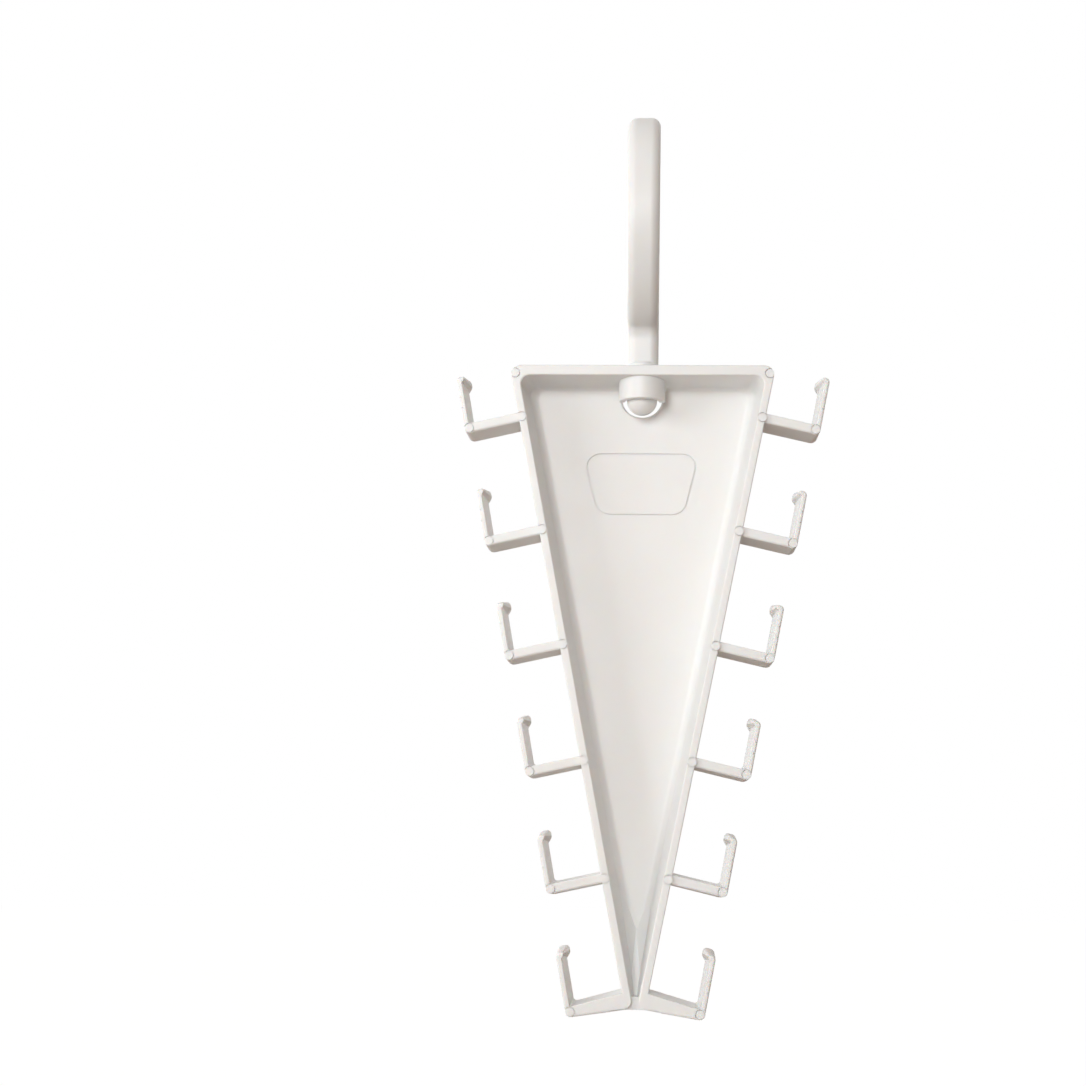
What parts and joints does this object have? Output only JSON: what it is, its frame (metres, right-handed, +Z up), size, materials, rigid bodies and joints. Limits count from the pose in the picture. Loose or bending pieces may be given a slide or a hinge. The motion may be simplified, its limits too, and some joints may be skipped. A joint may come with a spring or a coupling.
{
  "type": "organizer hanger",
  "caption": "Tapered hanging tray with pairs of hooked side arms for straps, belts or ties, hung from a hook that swivels.",
  "frame": {"origin": "the point inside the top of the hook's loop that rests on the rod, on the swivel axis", "axes": "+Z up along the swivel axis, -Y out of the tray's open front, X across the tray and along the rod"},
  "size_m": [0.1212, 0.0698, 0.2927],
  "materials": {
    "rack_plastic": "satin moulded ivory-white",
    "hook_plastic": "satin moulded ivory-white"
  },
  "bodies": {
    "hook": {"swivel_hook": "hook_plastic"},
    "rack": {"tray": "rack_plastic", "left_arm_1": "rack_plastic", "left_arm_2": "rack_plastic", "left_arm_3": "rack_plastic", "left_arm_4": "rack_plastic", "left_arm_5": "rack_plastic", "left_arm_6": "rack_plastic", "right_arm_1": "rack_plastic", "right_arm_2": "rack_plastic", "right_arm_3": "rack_plastic", "right_arm_4": "rack_plastic", "right_arm_5": "rack_plastic", "right_arm_6": "rack_plastic"}
  },
  "joints": [
    {"name": "hook_swivel", "type": "hinge", "parent": "hook", "child": "rack", "pos_m": [0, 0, -0.0743], "axis": [0, 0, 1], "continuous": true}
  ]
}
